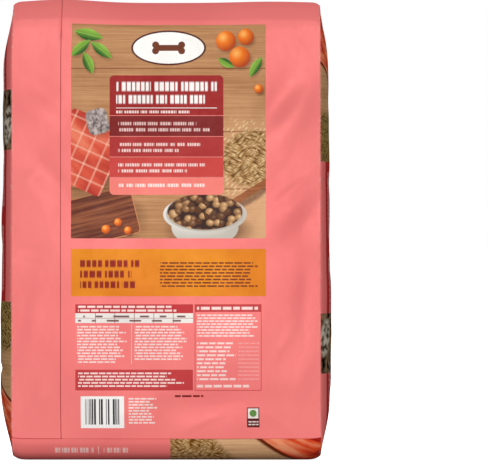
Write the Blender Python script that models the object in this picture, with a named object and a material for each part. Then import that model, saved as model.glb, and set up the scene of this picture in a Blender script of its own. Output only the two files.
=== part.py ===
"""A filled and sealed pet food bag: one side-gusseted film tube, pinched and folded at both ends.

Metres, +Z up. The bag stands on its base at z = 0, centred on x = 0 and y = 0. Its back, with the
lap seam and the turned-up bottom flap, faces -Y. The gussets face -X and +X.
"""

import math

import bmesh
import bpy

# Size of the filled bag
BAG_WIDTH = 0.319  # between the two upright creases of a panel
BAG_HEIGHT = 0.473  # from the base to the top fold at its lowest
BASE_DEPTH = 0.090  # between the creases of one gusset, at the base
FULL_DEPTH = 0.094  # the same where the bag is fullest
TOP_DEPTH = 0.082  # the same at the top fold
FULL_HEIGHT = 0.150  # where the bag is fullest
PANEL_BELLY = 0.0065  # how far the middle of a panel stands out past its creases

# Folded ends
BASE_TURN_HEIGHT = 0.019  # height over which a panel turns in to the base
BASE_TURN_DEPTH = 0.019  # how far it turns in there
BASE_TURN_POWER = 1.55  # 2 turns round an arc, and 1 would cut straight across
TOP_TURN_HEIGHT = 0.020  # the same at the top fold
TOP_TURN_DEPTH = 0.0090
TOP_TURN_POWER = 1.2
END_SHEET = 0.0012  # thickness of the film layers folded flat at an end
FOLD_DRAW = 0.0009  # how far the creases draw in towards the top fold
END_SHIFT = 0.0008  # how far both ends sit to one side
DRAW_HEIGHT = 0.060
CORNER_ROUND = 0.0045  # how far the corners of the base fall short of its flat
CORNER_REACH = 0.0200
TOP_CORNER_ROUND = 0.0035
TOP_CORNER_REACH = 0.0130
CORNER_POWER = 4
SEAM_HUMP = 0.0035  # the top fold rises where the lap seam stiffens it
SEAM_HUMP_REACH = 0.045
SIDE_HUMP = 0.0014
SIDE_HUMP_X = 0.108
SIDE_HUMP_REACH = 0.048
HUMP_HEIGHT = 0.050  # the humps of the top fold die out this far below it

# Gussets
GUSSET_BULGE_LOW = 0.0130  # past the creases, in the lower half
GUSSET_BULGE_HIGH = 0.0108  # the same in the upper half
BULGE_CHANGE_LOW = 0.110
BULGE_CHANGE_HIGH = 0.320
TUCK_HEIGHT_BASE = 0.024  # below this the middle of a gusset is tucked in between the panels
TUCK_HEIGHT_TOP = 0.030
TUCK_FADE_BASE = 0.014
TUCK_FADE_TOP = 0.012
TUCK_DEPTH = 0.018
BULGE_POWER = 2.2

# Seam and flaps
SEAM_X = -0.1083  # free edge of the lap seam, which runs up the back
SEAM_STEP = 0.0006
SEAM_LAP = 0.030  # width of the overlap
FLAP_STEP = 0.0009
FLAP_EDGE_BASE = 0.0229  # height of the bottom flap's free edge, on the back
FLAP_EDGE_TOP = 0.0300  # drop of the top flap's free edge below the top fold, on the front
EDGE_RUN = 0.0004  # run over which a layer's edge steps down
LAYER_FADE = 12  # how sharply a layer ends where a panel meets a gusset or an end

# Spacing of the mesh
COLUMN_STEP = 0.0200
ROW_STEP = 0.0200
GUSSET_ROWS = (0.25, 0.50, 0.75, 0.92)
CORNER_COLUMNS = (0, 0.13, 0.32, 0.65)  # shares of a corner's reach
TURN_ROWS = 5  # round each folded end
LAP_RUN = 1.5  # the overlap thins out over this many times its width

# Soft dents: across, height, half length, half width, lean from the horizontal, depth.
# A depth below zero is a ridge.
BACK_DENTS = (
    (0.1197, 0.3719, 0.034, 0.016, 52, 0.0050),
    (0.1347, 0.3601, 0.034, 0.016, 52, -0.0048),
    (0.1486, 0.2470, 0.024, 0.013, 42, 0.0036),
    (0.1366, 0.2640, 0.026, 0.013, 40, -0.0026),
    (0.1450, 0.1640, 0.032, 0.010, 86, 0.0030),
    (0.1420, 0.0920, 0.026, 0.012, 80, -0.0012),
    (-0.1272, 0.3824, 0.036, 0.012, -35, 0.0018),
    (-0.1395, 0.3629, 0.032, 0.012, -35, -0.0010),
    (-0.1262, 0.2980, 0.036, 0.012, -44, 0.0018),
    (-0.1375, 0.2800, 0.030, 0.012, -44, -0.0010),
    (-0.145, 0.215, 0.020, 0.008, 5, 0.0008),
    (0.060, 0.060, 0.080, 0.014, 4, 0.0010),
)
FRONT_DENTS = (
    (-0.132, 0.350, 0.032, 0.012, 118, 0.0022),
    (-0.142, 0.230, 0.036, 0.011, 104, 0.0018),
    (0.138, 0.300, 0.036, 0.012, 60, 0.0018),
    (0.140, 0.160, 0.034, 0.011, 100, 0.0016),
    (0.000, 0.415, 0.090, 0.010, 2, 0.0014),
)

# Printed film
FILM_COLOR = (0.939, 0.223, 0.216)
FILM_ROUGHNESS = 0.36


def blend(start, end, value):
    """0 at start, 1 at end, and a smooth rise between them."""
    share = min(max((value - start) / (end - start), 0.0), 1.0)
    return share * share * (3 - 2 * share)


def hump(value, centre, reach):
    """A smooth hump of height 1."""
    return math.exp(-(((value - centre) / reach) ** 2))


def crease_x(height):
    """From the middle of the bag to an upright crease."""
    return BAG_WIDTH / 2 - FOLD_DRAW * blend(BAG_HEIGHT - DRAW_HEIGHT, BAG_HEIGHT, height)


def sideways(height):
    """How far the bag sits to one side at this height."""
    near_top = blend(BAG_HEIGHT - DRAW_HEIGHT, BAG_HEIGHT, height)
    return END_SHIFT * (blend(DRAW_HEIGHT, 0, height) + near_top)


def turn_inset(distance, height, depth, power):
    """How far a panel has turned in, at this distance from the end that it turns round to."""
    left = min(max(1 - distance / height, 0.0), 1.0)
    return depth * (1 - (1 - left**power) ** (1 / power))


def crease_y(height):
    """From the middle plane of the bag to an upright crease."""
    if height < FULL_HEIGHT:
        depth = BASE_DEPTH + (FULL_DEPTH - BASE_DEPTH) * blend(0, FULL_HEIGHT, height)
    else:
        depth = FULL_DEPTH + (TOP_DEPTH - FULL_DEPTH) * blend(FULL_HEIGHT, BAG_HEIGHT, height)
    inset = turn_inset(height, BASE_TURN_HEIGHT, BASE_TURN_DEPTH, BASE_TURN_POWER)
    inset += turn_inset(BAG_HEIGHT - height, TOP_TURN_HEIGHT, TOP_TURN_DEPTH, TOP_TURN_POWER)
    return depth / 2 - inset


def belly(across, height):
    """How far a panel stands out past its creases. across runs from -1 to 1 between them."""
    rise = height / BAG_HEIGHT
    return PANEL_BELLY * (1 - abs(across) ** 2.5) * (4 * rise * (1 - rise)) ** 0.6


def dented(x, height, dents):
    """Depth of the soft dents at this point of a panel."""
    total = 0.0
    for centre_x, centre_z, length, width, lean, depth in dents:
        turn = math.radians(lean)
        along = (x - centre_x) * math.cos(turn) + (height - centre_z) * math.sin(turn)
        beside = (height - centre_z) * math.cos(turn) - (x - centre_x) * math.sin(turn)
        total += depth * hump(along, 0, length) * hump(beside, 0, width)
    return total


def layers(x, height, on_back):
    """Extra film on the panel: the overlap of the lap seam, and the folded-over flap."""
    if on_back:
        lap_end = SEAM_X + SEAM_LAP * LAP_RUN
        lap = blend(SEAM_X, SEAM_X + EDGE_RUN, x) * blend(lap_end, SEAM_X + SEAM_LAP, x)
        flap = blend(FLAP_EDGE_BASE + EDGE_RUN, FLAP_EDGE_BASE, height)
        return max(SEAM_STEP * lap, FLAP_STEP * flap)
    flap_edge = BAG_HEIGHT - FLAP_EDGE_TOP
    return FLAP_STEP * blend(flap_edge - EDGE_RUN, flap_edge, height)


def panel_y(x, height, on_back):
    """From the middle plane out to a panel."""
    across = min(abs(x) / crease_x(height), 1.0)
    dents = dented(x, height, BACK_DENTS if on_back else FRONT_DENTS)
    soft = belly(across, height) - dents * (1 - across**8)
    end_fade = min(crease_y(height) / (TOP_DEPTH / 2), 1.0)
    return crease_y(height) + soft * end_fade


def gusset_reach(across, height):
    """How far a gusset stands out past its creases, or in past them where an end is tucked."""
    if height <= END_SHEET or height >= BAG_HEIGHT - END_SHEET:
        return 0.0
    low = blend(BULGE_CHANGE_HIGH, BULGE_CHANGE_LOW, height)
    fullness = GUSSET_BULGE_HIGH + (GUSSET_BULGE_LOW - GUSSET_BULGE_HIGH) * low
    arch = 1 - across**2
    from_base = 1 - math.exp((TUCK_HEIGHT_BASE * arch - height) / TUCK_FADE_BASE)
    from_top = 1 - math.exp((TUCK_HEIGHT_TOP * arch - BAG_HEIGHT + height) / TUCK_FADE_TOP)
    reach = fullness * from_base * from_top
    if reach < 0:
        reach = -TUCK_DEPTH * (1 - math.exp(reach / TUCK_DEPTH))
    return reach * (1 - abs(across) ** BULGE_POWER)


def end_lift(x, height):
    """How far a point moves up or down because the folded ends aren't straight."""
    inset = crease_x(height) - abs(x)
    low_corner = CORNER_ROUND * min(max(1 - inset / CORNER_REACH, 0), 1) ** CORNER_POWER
    high_corner = TOP_CORNER_ROUND * min(max(1 - inset / TOP_CORNER_REACH, 0), 1) ** CORNER_POWER
    low = low_corner * blend(BASE_TURN_HEIGHT * 2, 0, height)
    high = high_corner * blend(BAG_HEIGHT - TOP_TURN_HEIGHT * 2, BAG_HEIGHT, height)
    humps = SEAM_HUMP * hump(x, SEAM_X, SEAM_HUMP_REACH)
    humps += SIDE_HUMP * hump(x, SIDE_HUMP_X, SIDE_HUMP_REACH)
    return low - high + humps * blend(BAG_HEIGHT - HUMP_HEIGHT, BAG_HEIGHT, height)


def place(column, row, level):
    """The point of the bag for a column from crease to crease, a row from back to front, and a height."""
    side = column / (BAG_WIDTH / 2)
    x = side * crease_x(level)
    if abs(side) == 1:
        x += side * gusset_reach(row, level)
    on_back = row < 0
    extra = layers(x, level, on_back) * abs(row) ** LAYER_FADE
    y = row * panel_y(x, level, on_back) + math.copysign(extra, row)
    return x + sideways(level), y, level + end_lift(x, level)


def spaced(start, end, step):
    """Evenly spaced values between start and end, without start and end themselves."""
    count = max(round((end - start) / step), 1)
    return [start + (end - start) * index / count for index in range(1, count)]


def columns():
    """From crease to crease, close together at the corners and at the seam's edge."""
    half = BAG_WIDTH / 2
    near_crease = [half - CORNER_REACH * share for share in CORNER_COLUMNS]
    values = near_crease + [-value for value in near_crease]
    lap_end = SEAM_X + SEAM_LAP * LAP_RUN
    values += [SEAM_X, SEAM_X + EDGE_RUN, SEAM_X + SEAM_LAP, lap_end]
    values += spaced(-near_crease[-1], SEAM_X, COLUMN_STEP)
    values += spaced(lap_end, near_crease[-1], COLUMN_STEP)
    return sorted(values)


def rows():
    """From the back crease of a gusset, through its middle, to the front crease."""
    return [-1.0] + [-value for value in reversed(GUSSET_ROWS)] + [0.0] + list(GUSSET_ROWS) + [1.0]


def turned(reach):
    """Heights round an end: its flat, both faces of the folded sheet, then evenly round the curve."""
    first = math.degrees(math.acos(1 - END_SHEET / reach))
    angles = [first + (90 - first) * turn / TURN_ROWS for turn in range(1, TURN_ROWS + 1)]
    curve = [reach * (1 - math.cos(math.radians(angle))) for angle in angles]
    return [0.0, END_SHEET, END_SHEET + EDGE_RUN / 2] + curve


def levels():
    """From the base to the top fold, close together round the ends and at the flaps' edges."""
    low = turned(BASE_TURN_HEIGHT) + [FLAP_EDGE_BASE, FLAP_EDGE_BASE + EDGE_RUN]
    high = turned(TOP_TURN_HEIGHT) + [FLAP_EDGE_TOP, FLAP_EDGE_TOP + EDGE_RUN]
    high = [BAG_HEIGHT - value for value in high]
    return sorted(low + spaced(max(low), min(high), ROW_STEP) + high)


def bag_mesh(grid):
    """A closed box of quads with one vertex for each grid point on its six sides."""
    mesh = bmesh.new()
    made = {}
    for axis in range(3):
        first, second = (axis + 1) % 3, (axis + 2) % 3
        last = len(grid[axis]) - 1
        for end in (0, last):
            for a in range(len(grid[first]) - 1):
                for b in range(len(grid[second]) - 1):
                    corners = []
                    for da, db in ((0, 0), (1, 0), (1, 1), (0, 1)):
                        index = [0, 0, 0]
                        index[axis], index[first], index[second] = end, a + da, b + db
                        key = tuple(index)
                        if key not in made:
                            point = place(*(line[i] for line, i in zip(grid, key)))
                            made[key] = mesh.verts.new(point)
                        corners.append(made[key])
                    if end == 0:
                        corners.reverse()
                    mesh.faces.new(corners)
    return mesh


def film_material():
    """Glossy laminate in its ground colour."""
    material = bpy.data.materials.new("bag_film")
    material.use_nodes = True
    shader = material.node_tree.nodes["Principled BSDF"]
    shader.inputs["Base Color"].default_value = (*FILM_COLOR, 1)
    shader.inputs["Roughness"].default_value = FILM_ROUGHNESS
    shader.inputs["Metallic"].default_value = 0.0
    return material


def make_bag():
    """The sealed bag, contents and all, as one solid."""
    data = bpy.data.meshes.new("bag")
    mesh = bag_mesh((columns(), rows(), levels()))
    mesh.to_mesh(data)
    mesh.free()
    data.shade_smooth()
    data.set_sharp_from_angle(angle=math.radians(38))
    data.materials.append(film_material())
    return bpy.data.objects.new("bag", data)


def main():
    for leftover in list(bpy.data.objects):
        bpy.data.objects.remove(leftover)
    parts = bpy.data.collections.new("pet_food_bag")
    bpy.context.scene.collection.children.link(parts)
    parts.objects.link(make_bag())


main()
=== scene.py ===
"""Looks of the filled pet food bag: its film as one fine mesh, its printed fields, light and camera.

Lengths are in metres, and in the tables of the print in millimetres. The film carries its own
coordinates: u runs across a panel from its middle, and v runs up it from the surface that the bag
stands on, following the film round both folded ends.
"""
import math

import bpy
import numpy as np
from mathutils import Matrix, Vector


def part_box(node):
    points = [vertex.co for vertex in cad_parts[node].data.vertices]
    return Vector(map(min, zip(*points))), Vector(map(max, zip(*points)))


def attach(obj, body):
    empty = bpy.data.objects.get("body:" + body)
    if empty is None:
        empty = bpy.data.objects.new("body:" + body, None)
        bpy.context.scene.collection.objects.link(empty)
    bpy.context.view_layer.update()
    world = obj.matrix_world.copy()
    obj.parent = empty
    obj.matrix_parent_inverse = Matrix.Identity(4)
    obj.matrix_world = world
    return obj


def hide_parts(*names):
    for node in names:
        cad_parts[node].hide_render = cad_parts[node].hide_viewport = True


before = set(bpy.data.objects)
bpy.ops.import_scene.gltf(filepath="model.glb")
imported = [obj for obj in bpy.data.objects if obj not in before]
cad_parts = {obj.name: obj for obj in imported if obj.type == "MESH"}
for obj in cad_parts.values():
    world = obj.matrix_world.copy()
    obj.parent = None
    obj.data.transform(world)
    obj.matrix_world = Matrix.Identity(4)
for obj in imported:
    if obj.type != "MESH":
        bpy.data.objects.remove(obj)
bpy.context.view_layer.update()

# Size of the filled bag, as in the solid
BAG_WIDTH = 0.319
BAG_HEIGHT = 0.473
BASE_DEPTH = 0.090
FULL_DEPTH = 0.094
TOP_DEPTH = 0.082
FULL_HEIGHT = 0.150
PANEL_BELLY = 0.0065
BELLY_SIDE_POWER = 2.5
BELLY_END_POWER = 0.6

# Folded ends
BASE_TURN_HEIGHT = 0.019
BASE_TURN_DEPTH = 0.019
BASE_TURN_POWER = 1.55  # 2 turns round an arc, and 1 would cut straight across
TOP_TURN_HEIGHT = 0.020
TOP_TURN_DEPTH = 0.0090
TOP_TURN_POWER = 1.2
END_SHEET = 0.0012
FOLD_DRAW = 0.0009
END_SHIFT = 0.0008
DRAW_HEIGHT = 0.060
CORNER_ROUND = 0.0045
CORNER_REACH = 0.0200
TOP_CORNER_ROUND = 0.0035
TOP_CORNER_REACH = 0.0130
CORNER_POWER = 4
SEAM_HUMP = 0.0035
SEAM_HUMP_REACH = 0.045
SIDE_HUMP = 0.0014
SIDE_HUMP_X = 0.108
SIDE_HUMP_REACH = 0.048
HUMP_HEIGHT = 0.050

# Gussets
GUSSET_BULGE_LOW = 0.0130
GUSSET_BULGE_HIGH = 0.0108
BULGE_CHANGE_LOW = 0.110
BULGE_CHANGE_HIGH = 0.320
TUCK_HEIGHT_BASE = 0.024
TUCK_HEIGHT_TOP = 0.030
TUCK_FADE_BASE = 0.014
TUCK_FADE_TOP = 0.012
TUCK_DEPTH = 0.018
BULGE_POWER = 2.2
MIDDLE_RIDGE = 0.0006  # along the middle of a gusset
RIDGE_REACH = 0.05  # of half the depth
BUCKLE_FLARE = 0.35  # how much taller a buckle is at the creases
WAVE_SPAN = 0.045  # stretch of the panels' waves over half a gusset
LEFT_WAVES = 0.11  # shift that gives the left gusset waves of its own

# Seam and flaps
SEAM_X = -0.1083
SEAM_STEP = 0.0006
SEAM_LAP = 0.030
LAP_RUN = 1.5  # laps from the seam's edge to where its step has faded out
FLAP_STEP = 0.0009
FLAP_EDGE_BASE = 0.0229
FLAP_EDGE_TOP = 0.0300
EDGE_RUN = 0.0004
LAYER_FADE = 12  # power of a step's fade over the base and the top

# Soft dents, as in the solid: across, height, half length, half width, lean from the horizontal, depth.
# A depth below zero is a ridge.
BACK_DENTS = (
    (0.1197, 0.3719, 0.034, 0.016, 52, 0.0050),
    (0.1347, 0.3601, 0.034, 0.016, 52, -0.0048),
    (0.1486, 0.2470, 0.024, 0.013, 42, 0.0036),
    (0.1366, 0.2640, 0.026, 0.013, 40, -0.0026),
    (0.1450, 0.1640, 0.032, 0.010, 86, 0.0030),
    (0.1420, 0.0920, 0.026, 0.012, 80, -0.0012),
    (-0.1272, 0.3824, 0.036, 0.012, -35, 0.0018),
    (-0.1395, 0.3629, 0.032, 0.012, -35, -0.0010),
    (-0.1262, 0.2980, 0.036, 0.012, -44, 0.0018),
    (-0.1375, 0.2800, 0.030, 0.012, -44, -0.0010),
    (-0.145, 0.215, 0.020, 0.008, 5, 0.0008),
    (0.060, 0.060, 0.080, 0.014, 4, 0.0010),
)
FRONT_DENTS = (
    (-0.132, 0.350, 0.032, 0.012, 118, 0.0022),
    (-0.142, 0.230, 0.036, 0.011, 104, 0.0018),
    (0.138, 0.300, 0.036, 0.012, 60, 0.0018),
    (0.140, 0.160, 0.034, 0.011, 100, 0.0016),
    (0.000, 0.415, 0.090, 0.010, 2, 0.0014),
)

# Fine folds that only the film's own mesh has, in the same terms as the dents
BACK_FOLDS = (
    (0.1324, 0.2818, 0.028, 0.0042, 38, -0.00110),
    (0.1240, 0.3050, 0.018, 0.0050, 60, 0.00040),
    (-0.1375, 0.2962, 0.013, 0.0045, 48, -0.00035),
    (-0.1420, 0.2185, 0.018, 0.0022, 4, 0.00030),
    (-0.1420, 0.2055, 0.020, 0.0022, -6, 0.00026),
    (-0.1360, 0.1500, 0.030, 0.0080, 78, -0.00080),
    (-0.1300, 0.0700, 0.026, 0.0070, 70, -0.00070),
    (0.1200, 0.1200, 0.022, 0.0040, 58, -0.00040),
    (-0.0300, 0.0560, 0.020, 0.0035, 32, -0.00040),
    (0.0400, 0.0420, 0.024, 0.0035, 24, -0.00045),
    (0.1200, 0.0380, 0.022, 0.0040, -40, -0.00022),
)
FRONT_FOLDS = (
    (-0.134, 0.280, 0.030, 0.0040, 44, -0.00110),
    (0.138, 0.352, 0.024, 0.0050, -52, 0.00110),
    (0.142, 0.210, 0.026, 0.0040, 66, -0.00090),
    (-0.140, 0.120, 0.022, 0.0040, -60, -0.00080),
    (0.100, 0.070, 0.030, 0.0050, 20, 0.00060),
)
# Creases of the film drawn round the top fold: place across, half width and height out
TOP_STREAKS = (
    (-0.1450, 0.0030, 0.00014),
    (-0.1030, 0.0016, 0.00022),
    (-0.0965, 0.0018, 0.00018),
    (-0.0640, 0.0022, 0.00010),
    (-0.0360, 0.0014, 0.00022),
    (-0.0330, 0.0012, 0.00014),
    (0.0050, 0.0026, 0.00010),
    (0.0320, 0.0014, 0.00020),
    (0.0462, 0.0014, 0.00024),
    (0.0505, 0.0012, 0.00014),
    (0.0763, 0.0018, 0.00020),
    (0.0990, 0.0014, 0.00024),
    (0.1083, 0.0018, 0.00022),
    (0.1260, 0.0020, 0.00020),
    (0.1370, 0.0012, 0.00012),
    (0.1440, 0.0012, 0.00014),
    (0.1500, 0.0010, 0.00012),
)
STREAK_DROP = 0.0165  # below the top of the bag
STREAK_REACH = 0.0100
# Long waves of the panels: cycles a metre across and up, shift, and height
PANEL_WAVES = (
    (4.1, 7.3, 0.4, 0.00034),
    (-6.7, 10.9, 1.9, 0.00022),
    (11.3, 5.2, 4.1, 0.00016),
    (9.1, -16.7, 2.6, 0.00012),
    (-19.0, 13.0, 0.9, 0.00007),
)
FRONT_WAVES = 0.31  # shift that gives the front waves of its own
# Powers of the fade at a panel's creases. The higher one is, the nearer to the crease its fade begins.
DENT_FADE = 8
FOLD_FADE = 20
WAVE_FADE = 6
# Buckles of the gussets: height, half height and depth, on the left and on the right
LEFT_BUCKLES = (
    (0.0935, 0.0042, 0.0017),
    (0.150, 0.016, -0.0006),
    (0.222, 0.009, 0.0006),
    (0.318, 0.012, 0.0008),
    (0.385, 0.014, 0.0006),
)
RIGHT_BUCKLES = (
    (0.066, 0.010, 0.0007),
    (0.128, 0.012, -0.0005),
    (0.196, 0.008, 0.0005),
    (0.288, 0.010, 0.0007),
    (0.372, 0.012, 0.0007),
)

# Fineness of the film's mesh
COLUMN_STEP = 0.0022
ROW_STEP = 0.0025
GUSSET_STEP = 0.095  # of half the depth
TURN_ROWS = 14  # round each folded end
CREASE_ROUND = 0.0011
CREASE_SHARE = 0.026  # of half the depth
SHARP_ANGLE = 30  # degrees between quads, above which an edge shows

SHEEN = 0.018  # what the film's gloss adds to each printed colour
GLOSS = 0.12  # specular level of the panels
PEARL = 0.08  # metallic share, which gives the dents their dark and bright sides
ROUGH = 0.36  # where the film is smoothest
ROUGH_UNEVEN = 0.16
ROUGH_SCUFF = 0.07
BUMP_STRENGTH = 0.5
BUMP_DEPTH = 0.0001
DULL = 0.0  # on gussets and the bottom flap, which don't mirror the white room in the photograph

# Floor, room and lamps
FLOOR_REACH = 30.0
FLOOR_DIM = (0.30, 0.30, 0.30, 1)  # what it throws back on the bag
FLOOR_PALE = (0.80, 0.80, 0.80, 1)  # what is seen of it
FLOOR_GLOW = 0.90
WHITE = (1, 1, 1, 1)
ROOM_FILL = 0.20
ROOM_WHITE = 1.0
LAMP_TARGET = (0, 0, 0.24)
# Name, place, size, power, and whether it leaves gloss on the film
LAMPS = (
    ("key", (0.05, -3.12, 0.38), 1.3, 52, True),
    ("front", (-0.05, -2.9, 0.38), 1.6, 21.5, True),
    ("behind", (-1.5, 2.2, 2.6), 1.2, 62, False),
    ("behind", (1.5, 2.2, 2.6), 1.2, 62, False),
)

# Camera
PHOTO_WIDTH = 488  # pixels
PHOTO_MIDDLE_X = 244
BAG_MIDDLE_X = 166  # where the photograph shows the middle of the bag
PIXEL = 0.001026  # metres to a pixel at the back panel
CAMERA_DISTANCE = 2.5
CAMERA_HEIGHT = 0.2360
SENSOR = 36.0


def blend(start, end, value):
    """0 at start, 1 at end, and a smooth rise between them."""
    share = np.clip((value - start) / (end - start), 0, 1)
    return share * share * (3 - 2 * share)


def hump(value, centre, reach):
    """A smooth hump of height 1."""
    return np.exp(-(((value - centre) / reach) ** 2))


def crease_x(height):
    """From the middle of the bag to an upright crease."""
    return BAG_WIDTH / 2 - FOLD_DRAW * blend(BAG_HEIGHT - DRAW_HEIGHT, BAG_HEIGHT, height)


def sideways(height):
    """How far the bag sits to one side at this height."""
    near_top = blend(BAG_HEIGHT - DRAW_HEIGHT, BAG_HEIGHT, height)
    return END_SHIFT * (blend(DRAW_HEIGHT, 0, height) + near_top)


def turn_inset(distance, height, depth, power):
    """How far a panel has turned in, at this distance from the end that it turns round to."""
    left = np.clip(1 - distance / height, 0, 1)
    return depth * (1 - (1 - left**power) ** (1 / power))


def crease_y(height):
    """From the middle plane of the bag to an upright crease."""
    low = BASE_DEPTH + (FULL_DEPTH - BASE_DEPTH) * blend(0, FULL_HEIGHT, height)
    high = FULL_DEPTH + (TOP_DEPTH - FULL_DEPTH) * blend(FULL_HEIGHT, BAG_HEIGHT, height)
    inset = turn_inset(height, BASE_TURN_HEIGHT, BASE_TURN_DEPTH, BASE_TURN_POWER)
    inset = inset + turn_inset(BAG_HEIGHT - height, TOP_TURN_HEIGHT, TOP_TURN_DEPTH, TOP_TURN_POWER)
    return np.where(height < FULL_HEIGHT, low, high) / 2 - inset


def belly(across, height):
    """How far a panel stands out past its creases. across runs from -1 to 1 between them."""
    rise = np.clip(height / BAG_HEIGHT, 0, 1)
    arch = 1 - np.abs(across) ** BELLY_SIDE_POWER
    return PANEL_BELLY * arch * (4 * rise * (1 - rise)) ** BELLY_END_POWER


def dented(x, height, dents):
    """Depth of soft dents or folds at these points of a panel."""
    total = np.zeros_like(x)
    for centre_x, centre_z, length, width, lean, depth in dents:
        turn = math.radians(lean)
        along = (x - centre_x) * math.cos(turn) + (height - centre_z) * math.sin(turn)
        beside = (height - centre_z) * math.cos(turn) - (x - centre_x) * math.sin(turn)
        total += depth * hump(along, 0, length) * hump(beside, 0, width)
    return total


def layers(x, height, on_back):
    """Extra film on the panel: the overlap of the lap seam, and the folded-over flap."""
    lap_end = SEAM_X + SEAM_LAP * LAP_RUN
    lap = blend(SEAM_X, SEAM_X + EDGE_RUN, x) * blend(lap_end, SEAM_X + SEAM_LAP, x)
    flap = blend(FLAP_EDGE_BASE + EDGE_RUN, FLAP_EDGE_BASE, height)
    back = np.maximum(SEAM_STEP * lap, FLAP_STEP * flap)
    flap_edge = BAG_HEIGHT - FLAP_EDGE_TOP
    front = FLAP_STEP * blend(flap_edge - EDGE_RUN, flap_edge, height)
    return np.where(on_back, back, front)


def waves(x, height):
    """The long, low waves of film that is pressed out by loose kibble."""
    total = np.zeros_like(x)
    for across_rate, up_rate, shift, size in PANEL_WAVES:
        total += size * np.sin(2 * math.pi * (across_rate * x + up_rate * height) + shift)
    return total


def streaks(x, height):
    """Small upright creases of the film below the top fold."""
    total = np.zeros_like(x)
    for place_x, width, size in TOP_STREAKS:
        total += size * hump(x, place_x, width)
    return total * hump(height, BAG_HEIGHT - STREAK_DROP, STREAK_REACH)


def panel_y(x, height, on_back):
    """From the middle plane out to a panel."""
    across = np.minimum(np.abs(x) / crease_x(height), 1)
    dents = np.where(on_back, dented(x, height, BACK_DENTS), dented(x, height, FRONT_DENTS))
    folds = np.where(on_back, dented(x, height, BACK_FOLDS), dented(x, height, FRONT_FOLDS))
    drape = waves(np.where(on_back, x, -x), height + np.where(on_back, 0, FRONT_WAVES))
    soft = belly(across, height) - dents * (1 - across**DENT_FADE) - folds * (1 - across**FOLD_FADE)
    soft = soft + drape * (1 - across**WAVE_FADE) + streaks(np.where(on_back, x, -x), height)
    end_fade = np.minimum(crease_y(height) / (TOP_DEPTH / 2), 1)
    return crease_y(height) + soft * end_fade**2


def gusset_reach(across, height, left):
    """How far a gusset stands out past its creases, or in past them where an end is tucked."""
    low = blend(BULGE_CHANGE_HIGH, BULGE_CHANGE_LOW, height)
    fullness = GUSSET_BULGE_HIGH + (GUSSET_BULGE_LOW - GUSSET_BULGE_HIGH) * low
    arch = 1 - across**2
    from_base = 1 - np.exp((TUCK_HEIGHT_BASE * arch - height) / TUCK_FADE_BASE)
    from_top = 1 - np.exp((TUCK_HEIGHT_TOP * arch - BAG_HEIGHT + height) / TUCK_FADE_TOP)
    reach = fullness * from_base * from_top
    tucked = -TUCK_DEPTH * (1 - np.exp(np.minimum(reach, 0) / TUCK_DEPTH))
    reach = np.where(reach < 0, tucked, reach) * (1 - np.abs(across) ** BULGE_POWER)
    full = np.clip(from_base * from_top, 0, 1)
    for side, buckles in ((True, LEFT_BUCKLES), (False, RIGHT_BUCKLES)):
        for centre, half, depth in buckles:
            slope = BUCKLE_FLARE * np.abs(across) * half
            pinch = hump(height, centre, half + slope) * (1 - across**2) ** 2
            reach = reach - np.where(left == side, depth * full * pinch, 0)
    reach = reach + MIDDLE_RIDGE * full * np.exp(-np.abs(across) / RIDGE_REACH)
    drape = waves(across * WAVE_SPAN + LEFT_WAVES * left, height)
    reach = reach + drape * full * (1 - across**2)
    flat = (height <= END_SHEET) | (height >= BAG_HEIGHT - END_SHEET)
    return np.where(flat, 0, reach)


def end_lift(x, height):
    """How far a point moves up or down because the folded ends aren't straight."""
    inset = crease_x(height) - np.abs(x)
    low_corner = CORNER_ROUND * np.clip(1 - inset / CORNER_REACH, 0, 1) ** CORNER_POWER
    high_corner = TOP_CORNER_ROUND * np.clip(1 - inset / TOP_CORNER_REACH, 0, 1) ** CORNER_POWER
    low = low_corner * blend(BASE_TURN_HEIGHT * 2, 0, height)
    high = high_corner * blend(BAG_HEIGHT - TOP_TURN_HEIGHT * 2, BAG_HEIGHT, height)
    humps = SEAM_HUMP * hump(x, SEAM_X, SEAM_HUMP_REACH)
    humps += SIDE_HUMP * hump(x, SIDE_HUMP_X, SIDE_HUMP_REACH)
    return low - high + humps * blend(BAG_HEIGHT - HUMP_HEIGHT, BAG_HEIGHT, height)


def corner_cell(across_x, across_y):
    """Shares of the way into a crease's rounding, bent from a square corner to a round one."""
    most = np.maximum(across_x, across_y)
    least = np.minimum(across_x, across_y)
    angle = math.pi / 4 * least / np.maximum(most, 1e-9)
    bent_x = np.where(across_x > across_y, most * np.cos(angle), most * np.sin(angle))
    bent_y = np.where(across_x > across_y, most * np.sin(angle), most * np.cos(angle))
    return bent_x, bent_y


def place(column, row, level):
    """Points of the bag for columns from crease to crease, rows from back to front, and heights."""
    side = column / (BAG_WIDTH / 2)
    in_x = np.clip((np.abs(column) - (BAG_WIDTH / 2 - CREASE_ROUND)) / CREASE_ROUND, 0, 1)
    in_y = np.clip((np.abs(row) - (1 - CREASE_SHARE)) / CREASE_SHARE, 0, 1)
    bent_x, bent_y = corner_cell(in_x, in_y)
    x = side * crease_x(level) + np.sign(side) * (bent_x - in_x) * CREASE_ROUND
    round_row = row + np.sign(row) * (bent_y - in_y) * CREASE_SHARE
    on_side = np.abs(side) > 1 - 1e-9
    x = x + np.where(on_side, np.sign(side) * gusset_reach(row, level, side < 0), 0)
    on_back = row < 0
    extra = layers(x, level, on_back) * np.abs(row) ** LAYER_FADE
    y = round_row * panel_y(side * crease_x(level), level, on_back) + np.sign(row) * extra
    return np.stack([x + sideways(level), y, level + end_lift(x, level)], axis=1)


def spaced(start, end, step):
    """Evenly spaced values between start and end, without start and end themselves."""
    count = max(round((end - start) / step), 1)
    return [start + (end - start) * index / count for index in range(1, count)]


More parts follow.
